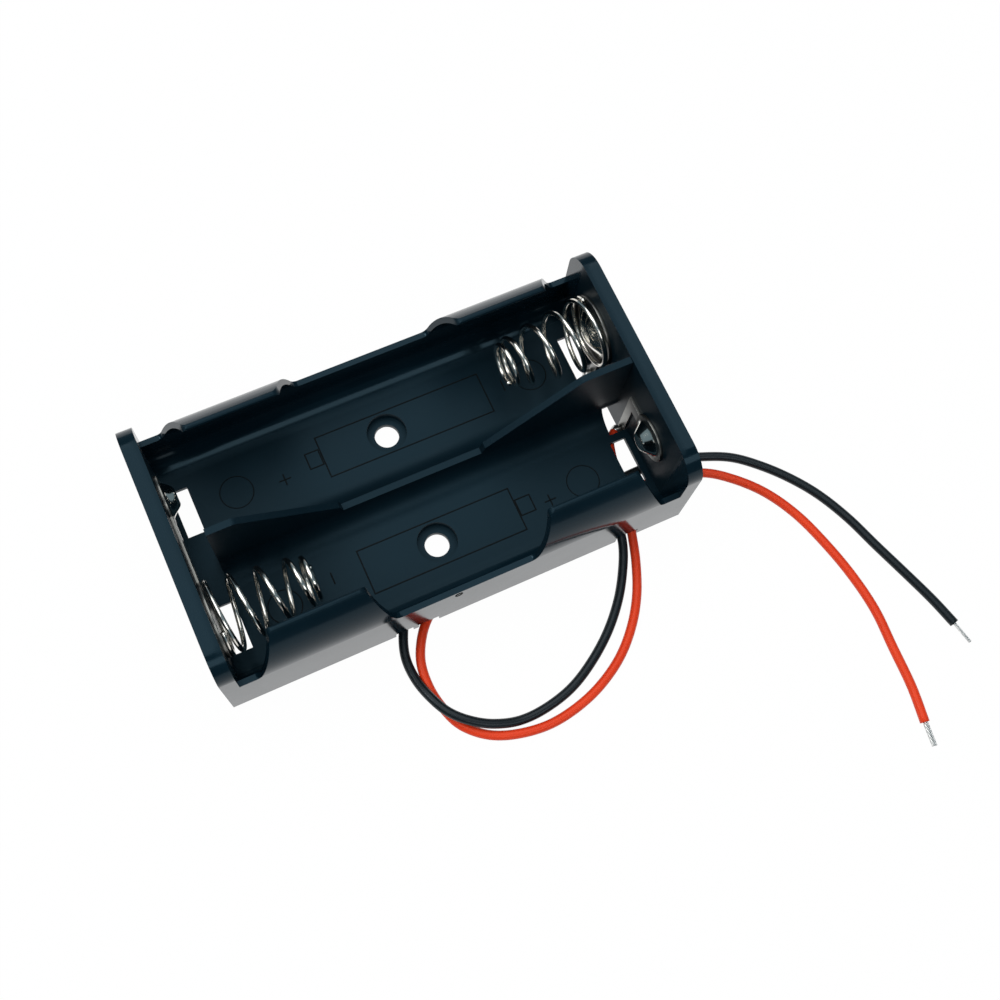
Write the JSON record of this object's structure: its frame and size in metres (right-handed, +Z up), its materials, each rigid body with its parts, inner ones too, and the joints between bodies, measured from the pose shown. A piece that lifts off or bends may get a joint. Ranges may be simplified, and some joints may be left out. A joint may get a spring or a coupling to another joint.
{
  "type": "cylindrical cell holder",
  "caption": "Open tray with curled side walls that holds cylindrical cells side by side between coil spring and dome contacts, with red and black leads.",
  "frame": {"origin": "centre of the rectangle of the rim that the holder stands on", "axes": "+X along the cells towards the end with the soldered leads, +Y from the near bay to the far bay, +Z up out of the open side"},
  "size_m": [0.0837, 0.0688, 0.0165],
  "materials": {
    "body_plastic": "black moulded plastic with a faint satin grain",
    "contact_metal": "bright nickel plate over spring steel",
    "solder": "smooth solder",
    "red_insulation": "satin red flexible insulation",
    "black_insulation": "satin black flexible insulation",
    "tinned_wire": "tinned copper strands"
  },
  "bodies": {
    "holder": {"holder_body": "body_plastic", "link_plate": "contact_metal", "positive_terminal": "contact_metal", "negative_terminal": "contact_metal", "red_solder": "solder", "black_solder": "solder", "red_lead": "red_insulation", "black_lead": "black_insulation", "red_lead_tip": "tinned_wire", "black_lead_tip": "tinned_wire"},
    "near_spring": {"left_spring": "contact_metal"},
    "far_spring": {"right_spring": "contact_metal"}
  },
  "joints": [
    {"name": "near_spring_press", "type": "slide", "parent": "holder", "child": "near_spring", "axis": [-1, 0, 0], "range_m": [0, 0.009], "stiffness_N_per_m": 100, "deforming": ["left_spring"]},
    {"name": "far_spring_press", "type": "slide", "parent": "holder", "child": "far_spring", "axis": [1, 0, 0], "range_m": [0, 0.009], "stiffness_N_per_m": 100, "deforming": ["right_spring"]}
  ]
}
